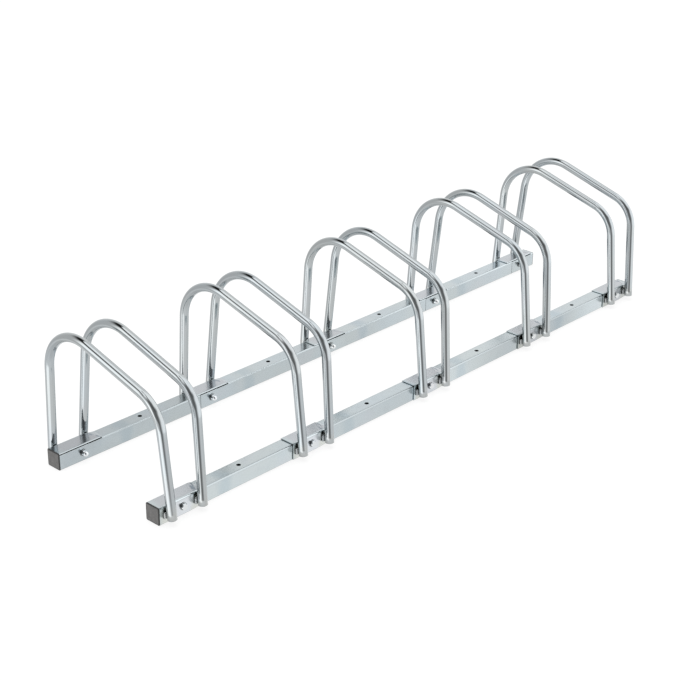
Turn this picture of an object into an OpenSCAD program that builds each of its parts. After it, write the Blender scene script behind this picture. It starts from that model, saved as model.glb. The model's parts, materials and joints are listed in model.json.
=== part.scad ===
// Floor rack for five bicycles: ten bent tube hoops welded in pairs to two
// sectional rails, whose sections lap over each other and are bolted at each pair.
// X runs along the rails, +Y is the tall side of the hoops, +Z is up.
// The origin is on the floor, under the middle of the rack.

/* [Rack] */
// Overall length along the rails, over the end plugs
rack_len = 1300; // [1250:10:1500]
// Spacing of the three middle hoop pairs, and of the floor holes
pair_pitch = 310; // [290:2.5:330]
// Distance from each end of the rack to the middle of its end pair
end_margin = 50; // [48:1:60]
// Distance between the middles of the front rail and the back rail
rail_spacing = 249; // [220:1:300]

/* [Rail section] */
// Width of a rail
rail_w = 29; // [24:1:32]
// Height of a rail
rail_h = 29; // [25:1:32]
// Thickness of the rail's steel sheet
sheet_t = 1.5; // [1.2:0.1:1.8]
// Outside radius of the rail's long edges
edge_r = 2.5; // [2:0.1:3.5]
// Diameter of the floor screw holes
floor_hole_d = 8; // [6:0.5:10]

/* [Rail joints] */
// How far the raised flap reaches over the previous section, left of the bolt
flap_before = 45; // [40:1:60]
// How far the raised flap reaches to the right of the bolt, at its inner edge
flap_after = 36; // [34:1:38]
// How much sooner it ends at the rail's outer edge
top_slant = 12.9; // [0:0.1:13]
// How much sooner again it ends at the foot of the outer wall
side_slant = 8.6; // [0:0.1:9]
// Length of the ramp that leads from the raised flap down to the rail
ramp_len = 8; // [4:1:9]
// Distance from the bolt to the seam in the inner and bottom walls
seam_before = 27; // [20:1:32]
// Width of that seam
seam_gap = 0.8; // [0.4:0.1:1.5]
// Height of the slit under the flap's inner edge
slit_h = 1.4; // [0.8:0.1:2]
// How far the slit runs on past the start of the ramp
slit_after = 4; // [0:0.5:6]
// Free space between the hidden end of the tongue and the ramp
tongue_gap = 2; // [1:0.5:4]
// How far the tongue's top edge is set back from the slit
tongue_inset = 4; // [2:0.5:6]
// Play between sheets that lap
slip = 0.7; // [0.3:0.1:0.9]

/* [Hoops] */
// Outside diameter of the hoop tube
tube_d = 16; // [14:0.5:18]
// Wall of the hoop tube
tube_wall = 1.2; // [1:0.1:1.5]
// Clear width for a tyre between the two hoops of a pair, at the floor
tyre_gap = 47; // [40:0.5:60]
// Angle by which each hoop leans away from its partner
splay = 1.6; // [0:0.2:3]
// Angle by which the back legs lean towards the front
back_lean = 5.4; // [2:0.2:7]
// Angle by which the front legs lean towards the back
front_lean = 4.6; // [2:0.2:6]
// Height at which the back leg's line meets the slope's line
back_corner_z = 278; // [255:1:320]
// Height at which the front leg's line meets the slope's line
front_corner_z = 200; // [170:1:215]
// Bend radius at the top of the back leg, at the middle of the tube
back_bend_r = 82; // [60:1:90]
// Bend radius at the top of the front leg, at the middle of the tube
front_bend_r = 60; // [40:1:70]
// How much a bend's wall swells beyond the straight tube's, outside and inside
bend_swell = 0.05; // [0.03:0.01:0.1]
// Height of the open lower tube ends above the floor
foot_gap = 8; // [0.3:0.1:9]
// Gap between a leg and the top edge of the flap it is welded to
leg_gap = 0.3; // [0.2:0.1:0.6]

/* [Welds] */
// Radius of a weld bead
weld_r = 3.2; // [2.8:0.1:3.6]
// Length of a weld bead
weld_len = 12; // [8:1:16]
// How far a weld bead melts into the tube wall
weld_bite = 0.7; // [0.4:0.1:0.9]
// Angle between the leg's nearest line to the rail and its weld beads
weld_angle = 36; // [30:1:40]

/* [Bolts] */
// Diameter of the cross bolts
bolt_d = 6; // [5:0.5:8]
// Play of a bolt in its holes
bolt_play = 0.6; // [0.3:0.1:1]
// Width of the bolt heads and the cap nuts across their flats
hex_w = 10; // [10:0.5:13]
// Height of a bolt head
head_h = 4; // [3:0.5:6]
// Diameter of the washers
washer_d = 13; // [12:0.5:16]
// Thickness of the washers
washer_t = 1.2; // [0.8:0.1:2]
// Height of a cap nut's hexagon
nut_h = 5; // [4:0.5:7]
// Depth of the threaded hole in a cap nut
nut_bore = 7.5; // [6.5:0.5:8.5]
// Play between the bolt and the nut's hole
thread_play = 0.1; // [0.05:0.05:0.2]

/* [End plugs] */
// Thickness of a plug's face
plug_face = 2; // [1.5:0.1:3]
// Bevel round a plug's face
plug_bevel = 0.8; // [0.4:0.1:1.2]
// Length of the part of a plug that is pushed into the rail
plug_depth = 14; // [8:1:20]
// Wall of that part
plug_wall = 1.6; // [1:0.1:2.5]
// Play between a plug and the inside of the rail
plug_play = 0.2; // [0.1:0.05:0.4]

/* [Hidden] */

$fn = 48;
hull_fn = 24;
eps = 0.01;
// How far a straight tube runs on inside the swollen wall of a bend
bend_grip = 0.5;

zinc = [0.78, 0.80, 0.81];
bright_zinc = [0.86, 0.87, 0.88];
grey_plastic = [0.30, 0.30, 0.30];

// Middles of the five pairs along X
end_pair_x = rack_len / 2 - end_margin;
pair_x = [-end_pair_x, -pair_pitch, 0, pair_pitch, end_pair_x];
last = len(pair_x) - 1;

// Walls of the back rail; the front rail is its mirror image
lift = sheet_t + slip;
inner_y = rail_spacing / 2 - rail_w / 2;
outer_y = rail_spacing / 2 + rail_w / 2;
flap_y = outer_y + lift;
flap_z = rail_h + lift;
bolt_z = flap_z / 2;
rail_end = rack_len / 2 - plug_face;

// Slope of the slanting plane on which the flap ends, outwards and downwards, and
// the upright planes between which a section changes from its flap to its plain tube
slant_y = top_slant / rail_w;
slant_z = side_slant / rail_h;
block_start = flap_after - top_slant - side_slant - 1;
block_end = flap_after + ramp_len;
tongue_end = block_start + 1 - tongue_gap;

tube_r = tube_d / 2;
hoop_x = (tyre_gap + tube_d) / 2;
bolt_hole_d = bolt_d + bolt_play;

// Distance from the rack's middle line to the legs' axes at the floor, where the
// leg that leans more just clears the top edge of the flap that it is welded to
steep_lean = max(back_lean, front_lean);
foot_y = flap_y + tube_r / cos(steep_lean) + tan(steep_lean) * flap_z + leg_gap;

// Height of the middle of a tube's open lower end, whose lowest edge is at foot_gap
function foot_z(lean) = foot_gap + tube_r * (sin(lean) + sin(splay));

// Points of the hoop's axis as [y, z], from the back foot to the front foot
function leg_point(side, lean, z) = [side * (foot_y - tan(lean) * z), z];
back_foot = leg_point(1, back_lean, foot_z(back_lean));
back_corner = leg_point(1, back_lean, back_corner_z);
front_corner = leg_point(-1, front_lean, front_corner_z);
front_foot = leg_point(-1, front_lean, foot_z(front_lean));

function unit(v) = v / norm(v);
function heading(p, q) = atan2(q[1] - p[1], q[0] - p[0]);
// Distance from a corner to the ends of the round bend of radius r in it
function tangent_len(a, corner, b, r) =
    r / tan(acos(unit(a - corner) * unit(b - corner)) / 2);
function toward(from, to, distance) = from + unit(to - from) * distance;

// Turns a drawing in X and Y into one in the rack's Y and Z, extruded along X
module along_x(x) {
    translate([x, 0, 0]) rotate([90, 0, 90]) children();
}

module round_rect(y0, z0, y1, z1, r) {
    translate([y0 + r, z0]) square([y1 - y0 - 2 * r, z1 - z0]);
    translate([y0, z0 + r]) square([y1 - y0, z1 - z0 - 2 * r]);
    for (y = [y0 + r, y1 - r], z = [z0 + r, z1 - r]) translate([y, z]) circle(r);
}

// Cross-section of the plain rail, a closed square tube
module tube_section() {
    difference() {
        round_rect(inner_y, 0, outer_y, rail_h, edge_r);
        round_rect(inner_y + sheet_t, sheet_t, outer_y - sheet_t, rail_h - sheet_t, edge_r - sheet_t);
    }
}

// Top and outer walls raised by one sheet, which lap over the previous section
module flap_section() {
    difference() {
        round_rect(inner_y, 0, flap_y, flap_z, edge_r);
        translate([inner_y - 1, -1]) square([rail_w + slip + 1, rail_h + slip + 1]);
    }
}

// Inner and bottom walls below the flap, with the slit along the inner edge
module channel_section() {
    intersection() {
        tube_section();
        union() {
            translate([inner_y, 0]) square([sheet_t, rail_h - slit_h]);
            translate([inner_y, 0]) square([rail_w - sheet_t - slip, rail_h / 2]);
        }
    }
}

// Top and outer walls that reach into the next section, under its flap
module tongue_section() {
    intersection() {
        tube_section();
        union() {
            translate([inner_y + tongue_inset, rail_h / 2]) square([rail_w, rail_h]);
            translate([outer_y - sheet_t, edge_r]) square([sheet_t, rail_h]);
        }
    }
}

// Slice of a section's outline, from an upright plane to the right
module slab(x, y1, z1, inset, thick = eps) {
    along_x(x) linear_extrude(thick)
        round_rect(inner_y + inset, inset, y1 - inset, z1 - inset, edge_r - inset, $fn = hull_fn);
}

// Slice up to the slanting plane that meets the rail's inner top edge at x
module slanting_slab(x, y1, z1, inset) {
    multmatrix([[1, -slant_y, slant_z, x + slant_y * inner_y - slant_z * rail_h], [0, 1, 0, 0], [0, 0, 1, 0]])
        slab(-0.5, y1, z1, inset, 0.5);
}

// Solid outline of the ramp, from the slanting crease down to the plain rail
module ramp_block(x, inset, over) {
    hull() {
        slab(x + block_start - over, flap_y, flap_z, inset);
        slanting_slab(x + flap_after, flap_y, flap_z, inset);
        slab(x + block_end - eps + over, outer_y, rail_h, inset);
    }
}

// Where the raised walls come down to the plain rail
module ramp(x) {
    difference() {
        ramp_block(x, 0, 0);
        ramp_block(x, sheet_t, eps);
        translate([x + block_start - 1, inner_y - 1, rail_h - slit_h])
            cube([flap_after + slit_after - block_start + 1, sheet_t + 1 + eps, slit_h + slip - 2 * eps]);
    }
}

module bolt_bore(x) {
    translate([x, 0, bolt_z]) rotate([-90, 0, 0]) cylinder(d = bolt_hole_d, h = flap_y + 1);
}

module floor_bore(x) {
    translate([x, rail_spacing / 2, -1]) cylinder(d = floor_hole_d, h = rail_h + 2);
}

// One section of the back rail, for the pair with this index
module rail_section(i) {
    x = pair_x[i];
    start = i == 0 ? -rail_end : x - flap_before;
    channel_start = i == 0 ? start : x - seam_before + seam_gap / 2;
    end = i == last ? rail_end : pair_x[i + 1] - seam_before - seam_gap / 2;
    difference() {
        union() {
            along_x(start) linear_extrude(x + block_start - start) flap_section();
            along_x(channel_start) linear_extrude(x + block_start - channel_start) channel_section();
            ramp(x);
            along_x(x + block_end) linear_extrude(end - x - block_end) tube_section();
            if (i < last)
                along_x(end) linear_extrude(pair_x[i + 1] + tongue_end - end) tongue_section();
        }
        bolt_bore(x);
        if (i < last) {
            bolt_bore(pair_x[i + 1]);
            floor_bore((i - 1.5) * pair_pitch);
        }
    }
}

module back_rail(i) {
    color(zinc) rail_section(i);
}

module front_rail(i) {
    color(zinc) mirror([0, 1, 0]) rail_section(i);
}

// Wall of the hoop tube in cross-section, swollen by so much on each side
module tube_ring(swell) {
    difference() {
        circle(tube_r + swell);
        circle(tube_r - tube_wall - swell);
    }
}

// Straight tube between two points of the hoop's plane, which runs on past each
// of them by the length given for it
module straight(p, q, before, after) {
    start = toward(p, q, -before);
    translate([start[0], start[1], 0]) rotate([0, 0, heading(p, q)]) rotate([0, 90, 0])
        linear_extrude(before + norm(q - p) + after) tube_ring(0);
}

// Round bend in the corner between a and b, turning anticlockwise
module bend(a, corner, b, r) {
    t = tangent_len(a, corner, b, r);
    start = toward(corner, a, t);
    turn = heading(corner, b) - heading(a, corner);
    centre = start + r * [-sin(heading(a, corner)), cos(heading(a, corner))];
    translate([centre[0], centre[1], 0]) rotate([0, 0, heading(a, corner) - 90])
        rotate_extrude(angle = turn < 0 ? turn + 360 : turn) translate([r, 0]) tube_ring(bend_swell);
}

// A bead as a bar with round ends, along Z
module bead() {
    rotate_extrude() intersection() {
        translate([0, -weld_len / 2]) square([weld_r, weld_len]);
        union() {
            square([2 * weld_r, weld_len - 2 * weld_r], center = true);
            for (side = [-1, 1]) translate([0, side * (weld_len / 2 - weld_r)]) circle(weld_r);
        }
    }
}

// The two beads that join one leg to its rail, cut flat at the flap
module leg_welds(side, lean) {
    axis = leg_point(side, lean, bolt_z);
    reach = tube_r + weld_r - weld_bite;
    difference() {
        for (turn = [-1, 1])
            translate([turn * reach * sin(weld_angle), axis[0] - side * reach * cos(weld_angle), bolt_z])
                rotate([side * lean, 0, 0]) bead();
        translate([-tube_d, side > 0 ? flap_y - tube_d : -flap_y, 0]) cube([2 * tube_d, tube_d, flap_z]);
    }
}

// One hoop, standing at the rack's middle, before it leans
module upright_hoop() {
    t_back = tangent_len(back_foot, back_corner, front_corner, back_bend_r);
    t_front = tangent_len(back_corner, front_corner, front_foot, front_bend_r);
    along_x(0) {
        straight(back_foot, toward(back_corner, back_foot, t_back), 0, bend_grip);
        bend(back_foot, back_corner, front_corner, back_bend_r);
        straight(toward(back_corner, front_corner, t_back), toward(front_corner, back_corner, t_front),
            bend_grip, bend_grip);
        bend(back_corner, front_corner, front_foot, front_bend_r);
        straight(toward(front_corner, front_foot, t_front), front_foot, bend_grip, 0);
    }
    leg_welds(1, back_lean);
    leg_welds(-1, front_lean);
}

// The left or right hoop of a pair: side is -1 or 1
module hoop(i, side) {
    color(bright_zinc) translate([pair_x[i] + side * hoop_x, 0, 0]) rotate([0, side * splay, 0]) upright_hoop();
}

// Plastic plug for the left end of the back rail, whose cavity reaches up to y1 and z1
module plug(y1, z1) {
    inset = sheet_t + plug_play;
    hull() {
        along_x(0) linear_extrude(eps)
            round_rect(inner_y + plug_bevel, plug_bevel, y1 - plug_bevel, z1 - plug_bevel,
                edge_r - plug_bevel, $fn = hull_fn);
        along_x(plug_bevel) linear_extrude(plug_face - plug_bevel)
            round_rect(inner_y, 0, y1, z1, edge_r, $fn = hull_fn);
    }
    along_x(plug_face) linear_extrude(plug_depth) difference() {
        translate([inner_y + inset, inset]) square([y1 - inner_y - 2 * inset, z1 - 2 * inset]);
        translate([inner_y + inset + plug_wall, inset + plug_wall])
            square([y1 - inner_y - 2 * (inset + plug_wall), z1 - 2 * (inset + plug_wall)]);
    }
}

module left_plug() {
    color(grey_plastic) translate([-rack_len / 2, 0, 0]) plug(flap_y, flap_z);
}

module right_plug() {
    color(grey_plastic) translate([rack_len / 2, 0, 0]) mirror([1, 0, 0]) plug(outer_y, rail_h);
}

// Puts the fastener of each pair on both rails, with its own +Z pointing out of the rack
module at_bolts(y) {
    for (x = pair_x, side = [0, 1])
        mirror([0, side, 0]) translate([x, y, bolt_z]) rotate([-90, 0, 0]) children();
}

// Hexagon with its corners turned off on the outer face
module hexagon(h) {
    corner_r = hex_w / 2 / cos(30);
    intersection() {
        cylinder(r = corner_r, h = h, $fn = 6);
        union() {
            cylinder(r = corner_r + eps, h = h / 2);
            translate([0, 0, h / 2]) cylinder(r1 = corner_r + eps, r2 = hex_w / 2 - eps, h = h / 2);
        }
    }
}

head_y = flap_y + washer_t;
nut_y = inner_y - washer_t;
bolt_tip = nut_y - nut_bore + 1;

module cross_bolts() {
    color(bright_zinc) at_bolts(head_y) {
        hexagon(head_h);
        translate([0, 0, bolt_tip - head_y]) cylinder(d = bolt_d, h = head_y - bolt_tip);
    }
}

module washer() {
    difference() {
        cylinder(d = washer_d, h = washer_t);
        translate([0, 0, -1]) cylinder(d = bolt_hole_d, h = washer_t + 2);
    }
}

module bolt_washers() {
    color(bright_zinc) at_bolts(flap_y) washer();
}

module nut_washers() {
    color(bright_zinc) at_bolts(nut_y) washer();
}

// Nut with a closed, domed end towards the middle of the rack
module cap_nuts() {
    dome_r = hex_w / 2 - eps;
    color(bright_zinc) at_bolts(nut_y) mirror([0, 0, 1]) difference() {
        union() {
            hexagon(nut_h);
            translate([0, 0, nut_h - eps]) intersection() {
                sphere(dome_r);
                cylinder(r = dome_r, h = dome_r);
            }
        }
        translate([0, 0, -1]) cylinder(d = bolt_d + 2 * thread_play, h = nut_bore + 1);
    }
}

back_rail(0);  // back_rail_1
back_rail(1);  // back_rail_2
back_rail(2);  // back_rail_3
back_rail(3);  // back_rail_4
back_rail(4);  // back_rail_5
front_rail(0);  // front_rail_1
front_rail(1);  // front_rail_2
front_rail(2);  // front_rail_3
front_rail(3);  // front_rail_4
front_rail(4);  // front_rail_5
hoop(0, -1);  // hoop_1_left
hoop(0, 1);  // hoop_1_right
hoop(1, -1);  // hoop_2_left
hoop(1, 1);  // hoop_2_right
hoop(2, -1);  // hoop_3_left
hoop(2, 1);  // hoop_3_right
hoop(3, -1);  // hoop_4_left
hoop(3, 1);  // hoop_4_right
hoop(4, -1);  // hoop_5_left
hoop(4, 1);  // hoop_5_right
left_plug();  // back_left_plug
mirror([0, 1, 0]) left_plug();  // front_left_plug
right_plug();  // back_right_plug
mirror([0, 1, 0]) right_plug();  // front_right_plug
cross_bolts();
bolt_washers();
nut_washers();
cap_nuts();
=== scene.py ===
import json
import math

import bpy
import numpy as np
from mathutils import Matrix, Vector


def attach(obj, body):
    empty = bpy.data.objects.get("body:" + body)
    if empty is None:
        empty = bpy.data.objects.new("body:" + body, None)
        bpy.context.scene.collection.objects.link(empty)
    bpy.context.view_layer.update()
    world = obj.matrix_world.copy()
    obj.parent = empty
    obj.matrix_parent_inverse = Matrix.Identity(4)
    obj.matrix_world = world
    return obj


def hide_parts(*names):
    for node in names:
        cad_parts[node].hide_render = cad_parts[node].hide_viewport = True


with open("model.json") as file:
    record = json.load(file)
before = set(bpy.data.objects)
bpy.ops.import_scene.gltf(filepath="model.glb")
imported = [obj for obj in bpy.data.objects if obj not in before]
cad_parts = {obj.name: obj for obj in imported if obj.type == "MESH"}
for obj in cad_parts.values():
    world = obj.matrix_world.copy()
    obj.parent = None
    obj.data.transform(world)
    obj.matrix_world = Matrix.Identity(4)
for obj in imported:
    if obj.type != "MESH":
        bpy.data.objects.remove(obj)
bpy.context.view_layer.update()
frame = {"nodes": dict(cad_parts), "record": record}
nodes = frame["nodes"]

MM = 0.001
WHITE = (1.0, 1.0, 1.0, 1.0)
# Near black of the painted shade in gaps
CREVICE_SHADE = (0.012, 0.013, 0.014, 1.0)

# Middles of the five pairs along X, and half the distance between a pair's hoops at the floor. A
# rail's distance from the rack's middle line, half its width, its height, and its outer and
# inner side.
PAIR_X = np.array([-600.0, -310.0, 0.0, 310.0, 600.0]) * MM
HOOP_X = 31.5 * MM
RAIL_Y, RAIL_HALF, RAIL_TOP = 124.5 * MM, 14.5 * MM, 29.0 * MM
RAIL_OUT, RAIL_IN = RAIL_Y + RAIL_HALF, RAIL_Y - RAIL_HALF


# Shader maths

class Value:
    """A socket of a material's or the world's node tree that can be used in Python expressions."""

    def __init__(self, tree, socket):
        self.tree, self.socket = tree, socket

    def node(self, kind, settings=(), **inputs):
        """Adds a node: its type, its settings, and the values or links of its sockets, by name or
        _number."""
        made = self.tree.nodes.new(kind)
        for name, value in dict(settings).items():
            setattr(made, name, value)
        for name, value in inputs.items():
            key = int(name[1:]) if name[0] == "_" else name.replace("__", " ")
            socket = made.inputs[key]
            if isinstance(value, Value):
                self.tree.links.new(value.socket, socket)
            else:
                socket.default_value = value
        return made

    def out(self, kind, output=0, settings=(), **inputs):
        """Adds a node and gives one of its outputs."""
        return Value(self.tree, self.node(kind, settings, **inputs).outputs[output])

    def maths(self, operation, *values):
        return self.out("ShaderNodeMath", 0, {"operation": operation},
                        **{f"_{i}": v for i, v in enumerate(values)})

    def __add__(self, other): return self.maths("ADD", self, other)
    def __radd__(self, other): return self.maths("ADD", other, self)
    def __sub__(self, other): return self.maths("SUBTRACT", self, other)
    def __rsub__(self, other): return self.maths("SUBTRACT", other, self)
    def __mul__(self, other): return self.maths("MULTIPLY", self, other)
    def maximum(self, other): return self.maths("MAXIMUM", self, other)
    def minimum(self, other): return self.maths("MINIMUM", self, other)
    def size(self): return self.maths("ABSOLUTE", self)

    def between(self, low, high):
        """Goes smoothly from 0 at low to 1 at high, or from 1 to 0 where low is the greater."""
        return self.out("ShaderNodeMapRange", 0, {"interpolation_type": "SMOOTHSTEP"},
                        _0=self, _1=low, _2=high, _3=0.0, _4=1.0)

    def blend(self, first, second):
        """The colour first where this value is 0 and second where it is 1."""
        return self.out("ShaderNodeMix", 2, {"data_type": "RGBA"}, _0=self, _6=first, _7=second)

    def times(self, factors):
        """This vector with each part multiplied by its own factor."""
        return self.out("ShaderNodeVectorMath", 0, {"operation": "MULTIPLY"}, _0=self, _1=factors)

    def parts(self):
        """This vector's x, y and z."""
        made = self.node("ShaderNodeSeparateXYZ", _0=self)
        return [Value(self.tree, made.outputs[i]) for i in range(3)]

    def noise(self, scale, detail=2.0, roughness=0.5):
        """Noise over these coordinates, with about so many grains to the unit."""
        return self.out("ShaderNodeTexNoise", 0, Vector=self, Scale=scale, Detail=detail,
                        Roughness=roughness)


# Materials

def material(name, **constants):
    """A material with one Principled shader, its constants set on the shader's own sockets.
    Returns the material, its shader node and the surface's Object coordinates."""
    made = bpy.data.materials.new(name)
    made.use_nodes = True
    shader = made.node_tree.nodes["Principled BSDF"]
    for socket, value in constants.items():
        shader.inputs[socket.replace("_", " ")].default_value = value
    here = made.node_tree.nodes.new("ShaderNodeTexCoord").outputs["Object"]
    return made, shader, Value(made.node_tree, here)


def feed(shader, **values):
    """Links values to the shader's sockets of these names."""
    for socket, value in values.items():
        value.tree.links.new(value.socket, shader.inputs[socket.replace("_", " ")])


def bump(height, distance, strength):
    """Normal from a height in 0 to 1, which stands for so many metres."""
    return height.out("ShaderNodeBump", 0, Height=height, Distance=distance, Strength=strength)


def crevice_shade_mask(here, reach, deep=0.15, clear=0.60):
    """Mask for painted shade: 0 deep in a gap and 1 in the open. Reach is how far off other
    surfaces count, in metres. Deep and clear are the open shares of the directions at which it is 0
    and 1."""
    openness = here.out("ShaderNodeAmbientOcclusion", 1, {"samples": 6}, Distance=reach)
    return openness.between(deep, clear)


def shaded(tone, *factors):
    """The tone times one factor, or times one for each of red, green and blue, as a full colour."""
    return [part * factor for part, factor in zip(tone, factors * (3 // len(factors)))] + [1.0]


def zinc_colour(here, tone, dull):
    """Colour of bright zinc plating: a faint change of hue from bluish to straw and rose over a few
    centimetres, and clouds of a few millimetres, darker by the share dull. Returns the colour and
    the clouds."""
    cool = shaded(tone, 0.98, 1.0, 1.015)
    warm = shaded(tone, 1.010, 1.005, 0.985)
    rose = shaded(tone, 1.02, 0.975, 1.0)
    drift = here.noise(9.0, 2.0).between(0.35, 0.65)
    blush = here.times((1.0, 1.6, 1.6)).noise(14.0, 3.0).between(0.50, 0.70)
    colour = (blush * 0.35).blend(drift.blend(cool, warm), rose)
    cloud = here.noise(60.0, 3.0, 0.6)
    return (cloud.between(0.45, 0.8) * 0.6).blend(colour, shaded(tone, 1.0 - dull)), cloud


def zinc(name, tone, rough, dull, grain, reach, deep, clear):
    """Bright zinc plating of this tone, roughness and dullness, with painted shade deep in its
    gaps, and with the fine crystals of the plating as a shallow bump of so many grains to the
    metre."""
    made, shader, here = material(name, Metallic=1.0)
    colour, cloud = zinc_colour(here, tone, dull)
    # Painted shade: the colour goes towards near black deep in gaps
    feed(shader, Base_Color=crevice_shade_mask(here, reach, deep, clear).blend(CREVICE_SHADE, colour),
         Roughness=rough + cloud * 0.05 + here.noise(700.0, 2.0) * 0.02,
         Normal=bump(here.noise(grain, 3.0, 0.6), 0.02 * MM, 0.5))
    return made


# The fasteners' painted shade reaches further and is darker, so that it rings the heads in black
FASTENER_ZINC = zinc("fastener_zinc_plating", (0.80, 0.82, 0.83), rough=0.06, dull=0.12,
                     grain=1500.0, reach=6.0 * MM, deep=0.48, clear=0.84)
WELD_ZINC = zinc("weld_bead_plating", (0.48, 0.50, 0.51), rough=0.12, dull=0.25,
                 grain=1800.0, reach=3.0 * MM, deep=0.15, clear=0.60)


def tube_plating():
    """Bright plating on drawn tube: mirror-like, with faint lines along the tube and a duller,
    straw-tinted zone round the welds."""
    made, shader, here = material("tube_zinc_plating", Metallic=1.0)
    colour, cloud = zinc_colour(here, (0.478, 0.508, 0.522), 0.06)
    around, along, _ = here.out("ShaderNodeUVMap", 0, {"uv_map": "along_tube"}).parts()
    angle = around * (2.0 * math.pi)
    # Noise over a circle, so that it joins up where the map starts again
    lines = here.out("ShaderNodeCombineXYZ", _0=angle.maths("COSINE", angle) * 7.0,
                     _1=angle.maths("SINE", angle) * 7.0, _2=along * 9.0).noise(2.6, 4.0, 0.65)
    drawn_grey, straw = [0.428, 0.458, 0.472, 1.0], [0.50, 0.485, 0.45, 1.0]
    colour = (lines.between(0.45, 0.75) * 0.5).blend(colour, drawn_grey)
    height = here.parts()[2]
    heated = height.between(40.0 * MM, 22.0 * MM) * here.noise(90.0, 2.0).between(0.30, 0.62)
    colour = (heated * 0.30).blend(colour, straw)
    # Painted shade in gaps, such as where the tube meets the rail
    feed(shader, Base_Color=crevice_shade_mask(here, 2.5 * MM).blend(CREVICE_SHADE, colour),
         Roughness=0.030 + cloud * 0.04 + lines * 0.05 + heated * 0.08,
         Normal=bump(here.noise(1200.0, 3.0, 0.6), 0.02 * MM, 0.25))
    return made


TUBE_ZINC = tube_plating()


# Tone of each section from left to right, which also holds painted light, and the painted light
# on its side that looks along -Y: how much brighter that side is near the bolt, at the left end of
# the plain tube and at its right end
RAIL_TONES_AND_LIGHT = {"back": (0.75, 0.91, 0.92, 0.97, 0.97), "front": (0.93, 0.95, 0.98, 0.97, 0.97)}
RAIL_SIDE_LIGHT = {"back": ((1.10, 1.15, 1.12), (1.0, 0.98, 0.96), (1.0, 0.97, 1.06), (1.0, 0.96, 1.0),
                       (0.96, 1.0, 1.0)),
              "front": ((1.42, 1.17, 1.16), (1.42, 1.04, 0.98), (1.22, 1.14, 0.88),
                        (0.95, 0.84, 1.17), (1.0, 1.0, 1.0))}
# How dark the painted shade makes the rolled edges of each row, which dims their shine
ROLLED_EDGE_SHADE = {"back": 0.94, "front": 0.73}

# Where the flap ends at the inner side of its rail, and how much sooner for each metre outwards
FLAP_END, FLAP_SLANT = 36.0 * MM, 0.445


def rail_plating(name, row, number):
    """Bright plating on a rail section: its tone, which also holds painted light, a greyish-pink
    flap round its bolt, dark bluish streaks where the flap ends, a darker bluish band beyond it, a
    straw tint beside the welds, painted light on its side that looks along -Y, painted shade that
    dims its rolled edges with thin painted dark reflections beside them, and painted shade in its
    gaps."""
    shade, pair_x = RAIL_TONES_AND_LIGHT[row][number], float(PAIR_X[number])
    tone = [0.598 * shade, 0.658 * shade, 0.683 * shade]
    made, shader, here = material(name, Metallic=1.0)
    colour, cloud = zinc_colour(here, tone, 0.08)
    x, y, z = here.parts()
    beside = y.size()
    wobble = here.noise(35.0, 2.0) * (20.0 * MM) - 10.0 * MM
    beyond = x + wobble - pair_x

    flap = beyond.size().between(47.0 * MM, 34.0 * MM)
    not_inside = beside.between(RAIL_IN + 0.2 * MM, RAIL_IN + 1.2 * MM)
    colour = (flap * not_inside * 0.75).blend(colour, shaded(tone, 0.93, 0.865, 0.875))

    past = x - pair_x - FLAP_END + (beside - RAIL_IN) * FLAP_SLANT
    ramp = (past.between(-1.0 * MM, 1.0 * MM) * past.between(9.0 * MM, 6.0 * MM)
            * z.between(26.0 * MM, 29.0 * MM))
    streaks = here.times((1.0, 0.35, 1.0)).noise(190.0, 2.0, 0.7).between(0.40, 0.56)
    colour = (ramp * streaks * 0.70).blend(colour, [0.13, 0.18, 0.23, 1.0])

    # A darker bluish band from 70 to 112 mm beyond the pair's middle
    blue_band = beyond.between(70.0 * MM, 88.0 * MM) * beyond.between(112.0 * MM, 94.0 * MM)
    colour = (blue_band * 0.40).blend(colour, shaded(tone, 0.70, 0.79, 0.85))

    near_leg = (beyond.size() - HOOP_X).size().between(20.0 * MM, 6.0 * MM)
    outside = beside.between(RAIL_OUT - 0.5 * MM, RAIL_OUT + 1.0 * MM)
    colour = (near_leg * outside * 0.5).blend(colour, shaded(tone, 0.86, 0.80, 0.66))

    # Distance from the rail's upper edges, as two flat sides would meet there
    wall = ((beside - RAIL_Y).size() - RAIL_HALF) * -1.0
    roof = (z - RAIL_TOP) * -1.0
    edge = wall * wall + roof * roof
    edge = edge.maths("SQRT", edge)
    # Painted reflection: thin darker lines beside the rolled edges; then painted shade darkens the
    # edges themselves to dim their shine
    edge_reflection_lines = edge.between(2.6 * MM, 3.4 * MM) * edge.between(6.2 * MM, 4.2 * MM)
    colour = (edge_reflection_lines * 0.12).blend(colour, shaded(tone, 0.80))
    colour = (edge.between(3.2 * MM, 2.0 * MM) * 0.9).blend(colour, shaded(tone, ROLLED_EDGE_SHADE[row]))

    # Painted light: the side that looks along -Y is made brighter, by one factor near the bolt and
    # by others along the plain tube
    near_bolt, left, right = RAIL_SIDE_LIGHT[row][number]
    row_y = RAIL_Y if row == "back" else -RAIL_Y
    side = (y - row_y).between(1.4 * MM - RAIL_HALF, 0.4 * MM - RAIL_HALF)
    plain = left + beyond.between(50.0 * MM, 250.0 * MM) * (right - left)
    colour = colour.times(1.0 + side * (plain + flap * (near_bolt - plain) - 1.0))
    # Painted shade in gaps, such as the slits under the flaps
    feed(shader, Base_Color=crevice_shade_mask(here, 3.0 * MM, 0.30, 0.80).blend(CREVICE_SHADE, colour),
         Roughness=0.14 + cloud * 0.08 + here.noise(700.0, 2.0) * 0.03,
         Normal=bump(here.noise(900.0, 3.0, 0.6), 0.02 * MM, 0.5))
    return made


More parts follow.
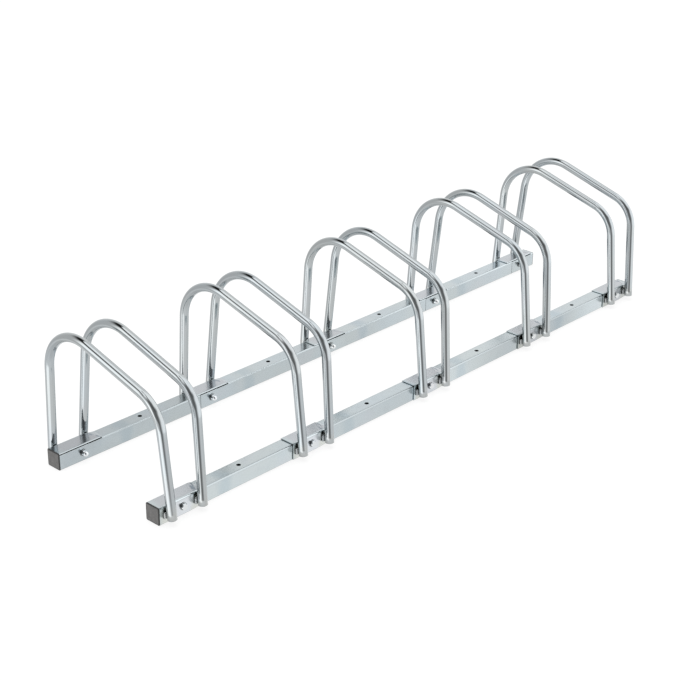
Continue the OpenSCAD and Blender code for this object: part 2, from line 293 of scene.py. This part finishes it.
def plug_plastic():
    """Grey moulded plastic, mottled, with painted shade along its edges, and a fine matt grain."""
    made, shader, here = material("plug_plastic_moulded", Metallic=0.0, Roughness=0.55)
    x, y, z = here.parts()
    # The left plugs fill the raised flaps, so their outer and upper edges lie further out
    lap = x.between(1.0 * MM, -1.0 * MM) * (2.2 * MM)
    beside = y.size()
    margin = (beside - RAIL_IN).minimum(lap + RAIL_OUT - beside)
    margin = margin.minimum(z).minimum(lap + RAIL_TOP - z)
    mottle = here.noise(160.0, 4.0, 0.7).between(0.30, 0.70)
    colour = mottle.blend([0.108, 0.106, 0.104, 1.0], [0.168, 0.164, 0.161, 1.0])
    # Painted shade: near black along the plug's edges, where it meets the rail
    colour = margin.between(1.0 * MM, 2.6 * MM).blend([0.030, 0.030, 0.030, 1.0], colour)
    feed(shader, Base_Color=colour, Normal=bump(here.noise(2600.0, 2.0, 0.7), 0.03 * MM, 0.6))
    return made


FINISHES = {"tube_zinc": TUBE_ZINC, "fastener_zinc": FASTENER_ZINC, "plug_plastic": plug_plastic()}

for part in frame["record"]["subparts"]:
    node, slot = part["node"], part["material_slot"]
    if slot == "rail_zinc":
        row, _, number = node.split("_")
        finish = rail_plating(node + "_plating", row, int(number) - 1)
    else:
        finish = FINISHES[slot]
    nodes[node].data.materials.clear()
    nodes[node].data.materials.append(finish)


# Hoops

# Sizes as in the part's source, apart from the broken rim and the flatter bends. The legs' middle
# lines would reach the floor at FOOT_Y. FLAP_Y and FLAP_Z are the outer side and the top of the
# rails' raised ends. BEND_FLAT is the share by which the bends are flatter than the tube.
TUBE_R, TUBE_WALL, RIM = 8.0 * MM, 1.2 * MM, 0.3 * MM
SPLAY, BACK_LEAN, FRONT_LEAN = math.radians(1.6), math.radians(5.4), math.radians(4.6)
FOOT_Y, FOOT_GAP = 152.485 * MM, 8.0 * MM
BACK_CORNER_Z, FRONT_CORNER_Z = 278.0 * MM, 200.0 * MM
BACK_BEND_R, FRONT_BEND_R = 82.0 * MM, 60.0 * MM
FLAP_Y, FLAP_Z = 141.2 * MM, 31.2 * MM
BEND_FLAT = 0.035


def leg_point(side, lean, height):
    """Point of a leg's middle line as y and z: side is 1 at the back and -1 at the front."""
    return np.array([side * (FOOT_Y - math.tan(lean) * height), height])


def foot(side, lean):
    """Middle of a leg's open lower end, whose lowest edge is FOOT_GAP above the floor."""
    return leg_point(side, lean, FOOT_GAP + TUBE_R * (math.sin(lean) + math.sin(SPLAY)))


def hoop_line():
    """Middle line of a hoop in its own plane: straight legs and a straight slope, joined by two
    round bends. Each bend starts at its corner's distance r / tan(half the corner's angle).
    Returns the points, their distances along the tube, and how strongly the tube is bent there."""
    corners = [foot(1, BACK_LEAN), leg_point(1, BACK_LEAN, BACK_CORNER_Z),
               leg_point(-1, FRONT_LEAN, FRONT_CORNER_Z), foot(-1, FRONT_LEAN)]
    points, bent, last = [corners[0][None]], [np.zeros(1)], corners[0]
    for before, corner, after, radius in ((corners[0], corners[1], corners[2], BACK_BEND_R),
                                          (corners[1], corners[2], corners[3], FRONT_BEND_R)):
        back = (before - corner) / np.linalg.norm(before - corner)
        ahead = (after - corner) / np.linalg.norm(after - corner)
        half = math.acos(float(back @ ahead)) / 2.0
        start = corner + back * radius / math.tan(half)
        middle = corner + (back + ahead) / np.linalg.norm(back + ahead) * radius / math.sin(half)
        turned = math.pi - 2.0 * half
        points.append(last + (start - last) * np.linspace(0.0, 1.0, 15)[1:-1, None])
        bent.append(np.zeros(13))
        angle = np.linspace(0.0, turned, 49)[:, None]
        points.append(middle + (start - middle) * np.cos(angle) - back * radius * np.sin(angle))
        bent.append(np.clip(np.sin(angle[:, 0] / turned * math.pi) * 3.0, 0.0, 1.0))
        last = points[-1][-1]
    points.append(last + (corners[3] - last) * np.linspace(0.0, 1.0, 14)[1:, None])
    bent.append(np.zeros(13))
    points, bent = np.concatenate(points), np.concatenate(bent)
    steps = np.linalg.norm(np.diff(points, axis=0), axis=1)
    return points, np.concatenate([[0.0], np.cumsum(steps)]), bent


def closed_mesh(name, grid, surface, along, around):
    """Mesh over a grid of points that joins up in both directions. Its UV map holds around, with
    one value more than the grid has columns, and along, with one value for each row."""
    rows, cols = grid.shape[:2]
    row, col = np.meshgrid(np.arange(rows), np.arange(cols), indexing="ij")
    below, beside = (row + 1) % rows, (col + 1) % cols
    faces = np.stack([row * cols + col, below * cols + col, below * cols + beside,
                      row * cols + beside], -1)
    mesh = bpy.data.meshes.new(name)
    mesh.from_pydata(grid.reshape(-1, 3), [], faces.reshape(-1, 4))
    v = np.stack([along[row], along[below], along[below], along[row]], -1)
    u = np.stack([around[col], around[col], around[col + 1], around[col + 1]], -1)
    layer = mesh.uv_layers.new(name="along_tube")
    layer.data.foreach_set("uv", np.stack([u, v], -1).astype(np.float32).ravel())
    mesh.polygons.foreach_set("use_smooth", np.ones(len(mesh.polygons), bool))
    mesh.materials.append(surface)
    mesh.update()
    return mesh


def place(name, mesh, slot, *stands_for):
    """Puts a piece on the rack's one body and hides the nodes that it stands for. Slot is not used.
    """
    piece = bpy.data.objects.new(name, mesh)
    bpy.context.scene.collection.objects.link(piece)
    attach(piece, "root")
    if stands_for:
        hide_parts(*stands_for)


def stand(points, pair, side):
    """Takes points from a hoop's upright plane, as x, y, z about its own middle, to its place: they
    turn about Y by the splay and move along X."""
    x, y, z = points[..., 0], points[..., 1], points[..., 2]
    turn = side * SPLAY
    return np.stack([PAIR_X[pair] + side * HOOP_X + x * math.cos(turn) + z * math.sin(turn), y,
                     z * math.cos(turn) - x * math.sin(turn)], -1)


def hoop_tube(name, pair, side):
    """Bent tube: a circle carried along the hoop's line, a little flatter and wider in the bends,
    with its rims broken by RIM. The outer wall runs up the line and the bore runs back down it."""
    line, along, bent = hoop_line()
    tangent = np.gradient(line, along, axis=0)
    tangent /= np.linalg.norm(tangent, axis=1)[:, None]
    outward = np.stack([tangent[:, 1], -tangent[:, 0]], -1)
    around = np.linspace(0.0, 2.0 * math.pi, 57)

    def wall(stations, radius, flat=0.0):
        """Rings of this radius round the stations, as rows of the grid, and flatter in the bends by
        the share flat."""
        centre, out, soft = line[stations], outward[stations], bent[stations]
        deep = radius * (1.0 - flat * soft)[:, None] * np.cos(around[:-1])
        wide = radius * (1.0 + 0.4 * flat * soft)[:, None] * np.sin(around[:-1])
        in_plane = centre[:, None] + deep[..., None] * out[:, None]
        return np.concatenate([wide[..., None], in_plane], -1)

    every = np.arange(len(line))
    outer = wall(every, TUBE_R, BEND_FLAT)
    bore = wall(every[::3], TUBE_R - TUBE_WALL, BEND_FLAT)
    start, end = np.array([0.0, *tangent[0]]), np.array([0.0, *tangent[-1]])
    face_low = wall(every[:1], TUBE_R - RIM)
    face_high = wall(every[-1:], TUBE_R - RIM)
    outer[0] += start * RIM
    outer[-1] -= end * RIM
    grid = np.concatenate([face_low, outer, face_high, bore[::-1]])
    distance = np.concatenate([along[:1], along, along[-1:], along[::3][::-1]])
    mesh = closed_mesh(name, stand(grid, pair, side), TUBE_ZINC, distance, around / (2.0 * math.pi))
    place(name + "_tube", mesh, "tube_zinc", name)


def weld_beads(name, pair, side):
    """Four weld beads, one on each side of both legs: round bars along the leg, of radius 3.15 mm
    times the fourth root of 1 - t^4 for t from -1 to 1 along the bead, with the ripples of the weld
    pool. They lie where the leg meets the rail, 36 degrees to the side of the line of contact, and
    are pressed flat on the rail."""
    rng = np.random.default_rng(100 + pair * 2 + (side > 0))
    off_axis, angle, deepest = 10.5 * MM, math.radians(36.0), FLAP_Y - 0.4 * MM
    t = np.linspace(-1.0, 1.0, 41)
    around = np.linspace(0.0, 2.0 * math.pi, 29)[:-1]
    meshes = []
    for leg, lean in ((1, BACK_LEAN), (-1, FRONT_LEAN)):
        axis = leg_point(leg, lean, FLAP_Z / 2.0)[0]
        for turn in (-1.0, 1.0):
            length = (6.0 + rng.uniform(-0.6, 0.3)) * MM
            waves = 16.0 + rng.uniform(-2.0, 2.0)
            ripple = 1.0 + 0.05 * np.cos(t * waves + rng.uniform(0.0, 6.0))
            waist = 1.0 + 0.06 * np.sin(t * 2.3 + rng.uniform(0.0, 6.0))
            taper = (1.0 - np.clip(np.abs(t), 0.0, 0.999) ** 4) ** 0.25
            radius = 3.15 * MM * taper * ripple * waist
            x = turn * off_axis * math.sin(angle) + radius[:, None] * np.sin(around)
            y = radius[:, None] * np.cos(around)
            z = t[:, None] * length + 0.35 * radius[:, None] * np.cos(around) ** 2
            y = (axis - leg * off_axis * math.cos(angle)
                 + y * math.cos(lean) - leg * z * math.sin(lean))
            z = FLAP_Z / 2.0 + z * math.cos(lean)
            y = np.maximum(y, deepest) if leg > 0 else np.minimum(y, -deepest)
            meshes.append(np.stack([x, y, z], -1))
    rows, cols = meshes[0].shape[:2]
    row, col = np.meshgrid(np.arange(rows - 1), np.arange(cols), indexing="ij")
    beside = (col + 1) % cols
    quads = np.stack([row * cols + col, (row + 1) * cols + col, (row + 1) * cols + beside,
                      row * cols + beside], -1).reshape(-1, 4)
    points, faces = [], []
    for number, bead in enumerate(meshes):
        base = number * rows * cols
        points.append(bead.reshape(-1, 3))
        ring = base + np.arange(cols)
        faces += (quads + base).tolist()
        faces += [ring.tolist(), (ring + (rows - 1) * cols)[::-1].tolist()]
    mesh = bpy.data.meshes.new(name)
    mesh.from_pydata(stand(np.concatenate(points), pair, side), [], faces)
    mesh.polygons.foreach_set("use_smooth", np.ones(len(mesh.polygons), bool))
    mesh.materials.append(WELD_ZINC)
    mesh.update()
    place(name + "_welds", mesh, "tube_zinc")


for pair in range(5):
    for side, side_name in ((-1, "left"), (1, "right")):
        hoop_name = f"hoop_{pair + 1}_{side_name}"
        hoop_tube(hoop_name, pair, side)
        weld_beads(hoop_name, pair, side)


# Stage

def floor():
    """Pale floor. It also glows a little, so that it is white where no shadow falls on it."""
    mesh = bpy.data.meshes.new("floor")
    far, below = 30.0, -0.3 * MM
    corners = ((-far, -far, below), (far, -far, below), (far, far, below), (-far, far, below))
    mesh.from_pydata(corners, [], [(0, 1, 2, 3)])
    made, shader, _ = material("floor_paper", Roughness=1.0, Specular_IOR_Level=0.0,
                               Base_Color=(0.20, 0.20, 0.20, 1.0))
    shader.inputs["Emission Color"].default_value = WHITE
    shader.inputs["Emission Strength"].default_value = 0.84
    mesh.materials.append(made)
    placed = bpy.data.objects.new("floor", mesh)
    bpy.context.scene.collection.objects.link(placed)
    placed.visible_glossy = False


floor()

# Flags and light walls round the rack, each laid over those before it: left and right side, lower
# and upper edge, how soft the sides and how soft the top and bottom are, and brightness. All but
# the last are angles in degrees. A side beyond 180 degrees means all the way round, and a
# brightness below 0 makes more of a soft side black. Nothing ends up darker than DARKEST.
FLAGS = ((-150.0, -70.0, -72.0, 89.0, 32.0, 14.0, 0.72),
         (-170.0, -84.0, -38.0, -27.0, 24.0, 13.0, 1.20),
         (60.0, 130.0, -60.0, -20.0, 15.0, 4.0, 0.92),
         (54.0, 150.0, -5.0, 65.0, 7.0, 10.0, 1.45),
         (18.0, 135.0, -16.0, 8.0, 5.0, 7.0, 1.48),
         (-45.0, -6.0, -38.0, -19.0, 15.0, 3.0, 1.75),
         (-70.0, -36.0, -34.0, -20.0, 5.0, 4.0, 1.85),
         (-164.0, -82.0, 46.0, 86.0, 17.0, 20.0, -0.40),
         (-32.0, 26.0, 0.0, 60.0, 10.0, 5.0, 0.25),
         (-64.0, -42.0, -13.0, 18.0, 6.0, 5.0, 1.95),
         (-84.0, -64.0, 1.0, 40.0, 11.0, 4.0, 1.80),
         (-88.0, -50.0, 44.0, 57.0, 6.0, 4.0, 0.20),
         (-400.0, 400.0, 64.0, 81.0, 10.0, 3.0, 1.55),
         (-10.0, 38.0, -25.0, 96.0, 26.0, 3.0, 0.20),
         (-64.0, 72.0, 36.0, 44.0, 14.0, 10.0, 0.10))
DARKEST = 0.02


def studio_world():
    """White surroundings with the flags and light walls, which show only in the metal. Turn is the
    angle from the studio's dark side and rise the angle above the horizon, both in degrees."""
    world = bpy.data.worlds.new("studio")
    bpy.context.scene.world = world
    world.use_nodes = True
    tree = world.node_tree
    tree.nodes.clear()
    x, y, z = Value(tree, tree.nodes.new("ShaderNodeTexCoord").outputs["Generated"]).parts()
    dark_side = math.radians(-137.1)
    ahead = x * math.cos(dark_side) + y * math.sin(dark_side)
    aside = y * math.cos(dark_side) - x * math.sin(dark_side)
    turn = aside.maths("ARCTAN2", aside, ahead) * math.degrees(1.0)
    rise = z.maths("ARCSINE", z) * math.degrees(1.0)

    level = 1.0 - rise.between(-46.0, -72.0) * 0.19
    for left, right, low, high, soft, fade, brightness in FLAGS:
        inside = (turn.between(left - soft, left + soft) * turn.between(right + soft, right - soft)
                  * rise.between(low - fade, low + fade) * rise.between(high + fade, high - fade))
        level = level + inside * (brightness - level)
    level = level.maximum(DARKEST)

    rays = tree.nodes.new("ShaderNodeLightPath")
    camera, glossy, through = [Value(tree, rays.outputs[f"Is {kind} Ray"])
                               for kind in ("Camera", "Glossy", "Transmission")]
    colour = glossy.blend(WHITE, x.out("ShaderNodeCombineColor", _0=level, _1=level, _2=level))
    backdrop = x.out("ShaderNodeBackground", Color=colour, Strength=1.0)
    light = x.out("ShaderNodeBackground", Color=WHITE, Strength=0.8)
    mixed = x.out("ShaderNodeMixShader", _0=camera.maximum(glossy).maximum(through), _1=light,
                  _2=backdrop)
    x.node("ShaderNodeOutputWorld", Surface=mixed)


studio_world()


def softbox(name, centre, aim, width, height, radiance):
    """Rectangular lamp of an even radiance, at centre and facing aim, both in metres. It doesn't
    show in the metal."""
    data = bpy.data.lights.new(name, "AREA")
    data.shape, data.size, data.size_y = "RECTANGLE", width, height
    data.energy = radiance * math.pi * width * height
    placed = bpy.data.objects.new(name, data)
    turn = (Vector(aim) - Vector(centre)).to_track_quat("-Z", "Y").to_matrix()
    placed.matrix_world = Matrix.Translation(centre) @ turn.to_4x4()
    bpy.context.scene.collection.objects.link(placed)
    placed.visible_glossy = False


softbox("overhead_softbox", (-0.1, 0.9, 3.5), (-0.1, 0.9, 0.0), 3.6, 3.2, 1.7)


# Camera

def photo_camera():
    """Stands where the photograph was taken from: eye and aim in metres, roll in degrees."""
    eye, aim = Vector((-1.94543, -1.73062, 1.24244)), Vector((-0.09083, 0.0, 0.09054))
    roll = math.radians(0.548)
    data = bpy.data.cameras.new("photo_camera")
    data.sensor_width, data.lens = 36.0, 80.565
    placed = bpy.data.objects.new("photo_camera", data)
    bpy.context.scene.collection.objects.link(placed)
    turn = (aim - eye).to_track_quat("-Z", "Y").to_matrix() @ Matrix.Rotation(roll, 3, "Z")
    placed.matrix_world = Matrix.Translation(eye) @ turn.to_4x4()
    bpy.context.scene.camera = placed


photo_camera()
bpy.context.scene.view_settings.view_transform = "Standard"
